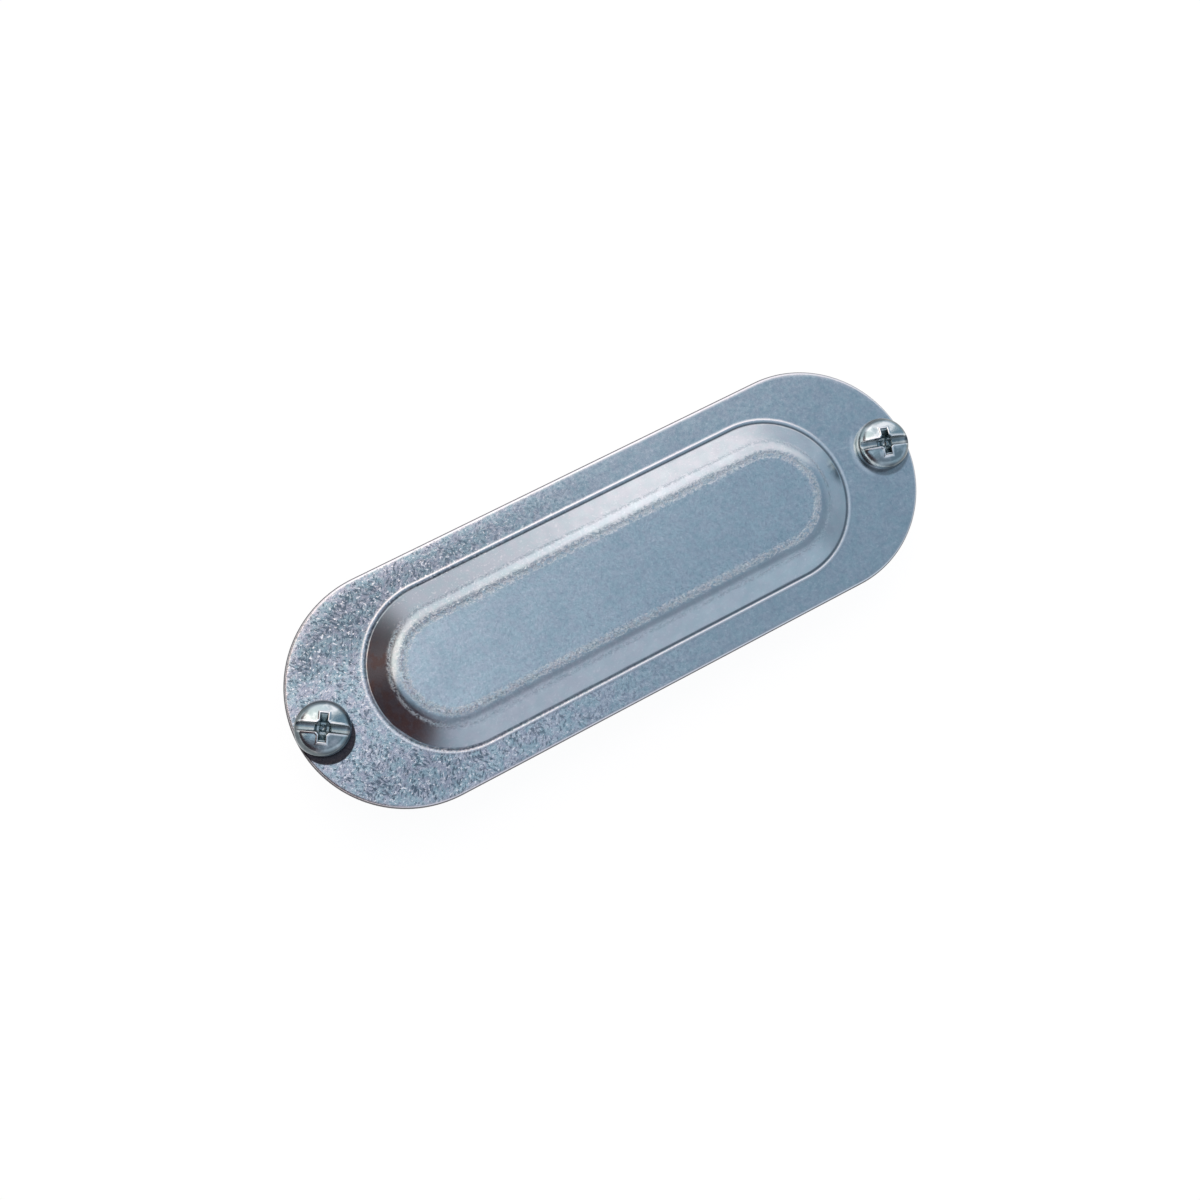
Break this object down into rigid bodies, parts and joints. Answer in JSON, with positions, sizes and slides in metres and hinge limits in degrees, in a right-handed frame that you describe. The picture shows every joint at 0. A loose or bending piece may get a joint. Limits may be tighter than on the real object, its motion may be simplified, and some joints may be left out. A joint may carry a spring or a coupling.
{
  "type": "conduit body cover",
  "caption": "Stamped galvanised-steel cover for a conduit body: an obround plate with a raised obround dome, held by a captive pan-head screw in each end.",
  "frame": {"origin": "centre of the flat seating face under the flange", "axes": "+Z out of the cover's outer face, away from the conduit body; +X along the cover's length; +Y across it"},
  "size_m": [0.1032, 0.0348, 0.0122],
  "materials": {
    "galvanised_sheet": "hot-dip galvanised sheet, semi-bright with a fine mottle, burnished where it was drawn",
    "zinc_plated_screw": "clear zinc plate, bright, faintly blue"
  },
  "bodies": {
    "cover": {"cover": "galvanised_sheet"},
    "left_screw": {"left_screw": "zinc_plated_screw"},
    "right_screw": {"right_screw": "zinc_plated_screw"}
  },
  "joints": [
    {"name": "left_screw_turn", "type": "hinge", "parent": "cover", "child": "left_screw", "pos_m": [-0.0475, 0, 0.0013], "axis": [0, 0, 1], "continuous": true},
    {"name": "right_screw_turn", "type": "hinge", "parent": "cover", "child": "right_screw", "pos_m": [0.0475, 0, 0.0013], "axis": [0, 0, 1], "continuous": true}
  ]
}
